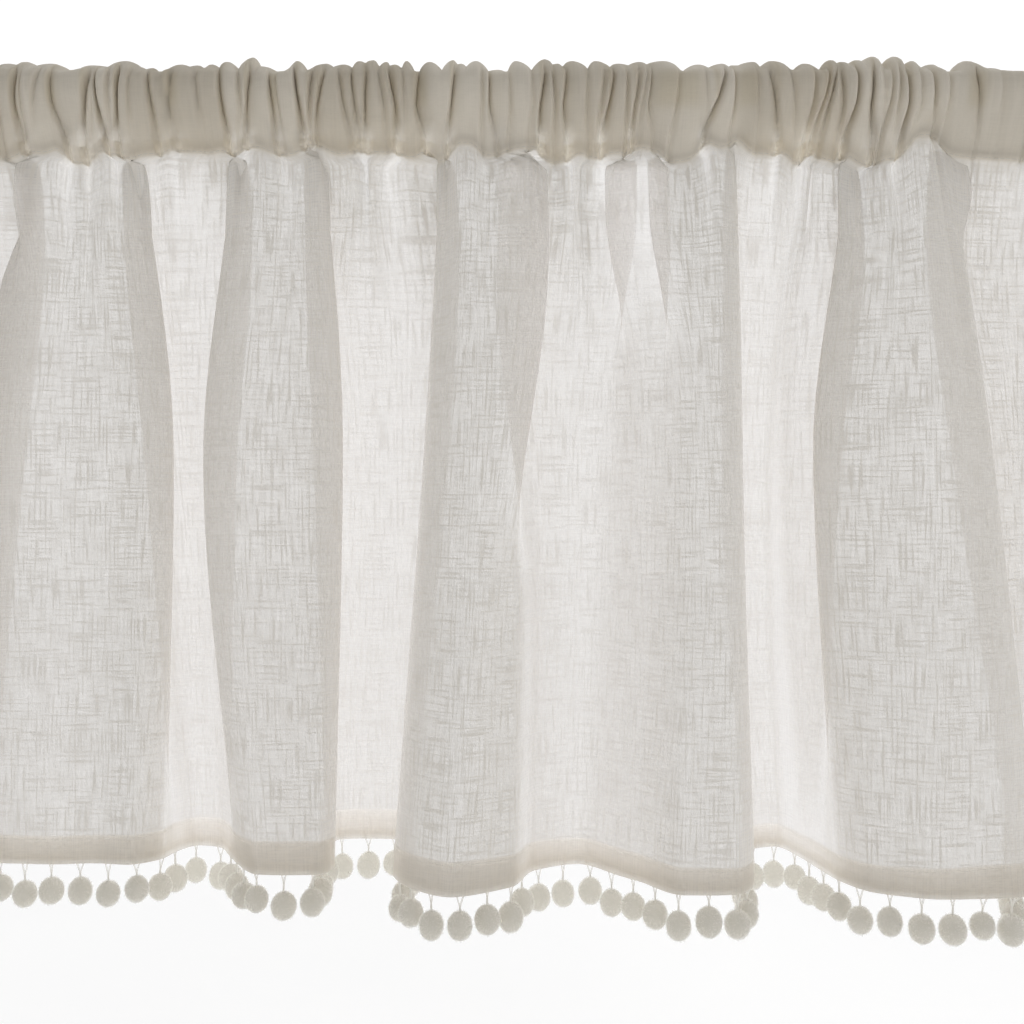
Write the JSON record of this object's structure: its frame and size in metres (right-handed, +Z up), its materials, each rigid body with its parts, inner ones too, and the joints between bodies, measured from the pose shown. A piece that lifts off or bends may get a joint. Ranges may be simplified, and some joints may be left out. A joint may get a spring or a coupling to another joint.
{
  "type": "window valance with curtain rod",
  "caption": "Short gathered linen-look window valance with a rod pocket and a pom-pom trim, hung on a plain curtain rod.",
  "frame": {"origin": "middle of the flat left end of the rod", "axes": "+X along the rod towards its right end, -Y out of the valance's front, +Z up"},
  "size_m": [0.86, 0.1051, 0.4867],
  "materials": {
    "linen_cloth": "semi-sheer slub linen weave, undyed off-white",
    "pompom_yarn": "soft cut cotton yarn, off-white",
    "rod_metal": "satin painted steel tube"
  },
  "bodies": {
    "root": {"valance_cloth": "linen_cloth", "pompom_trim": "pompom_yarn", "curtain_rod": "rod_metal"}
  },
  "joints": []
}
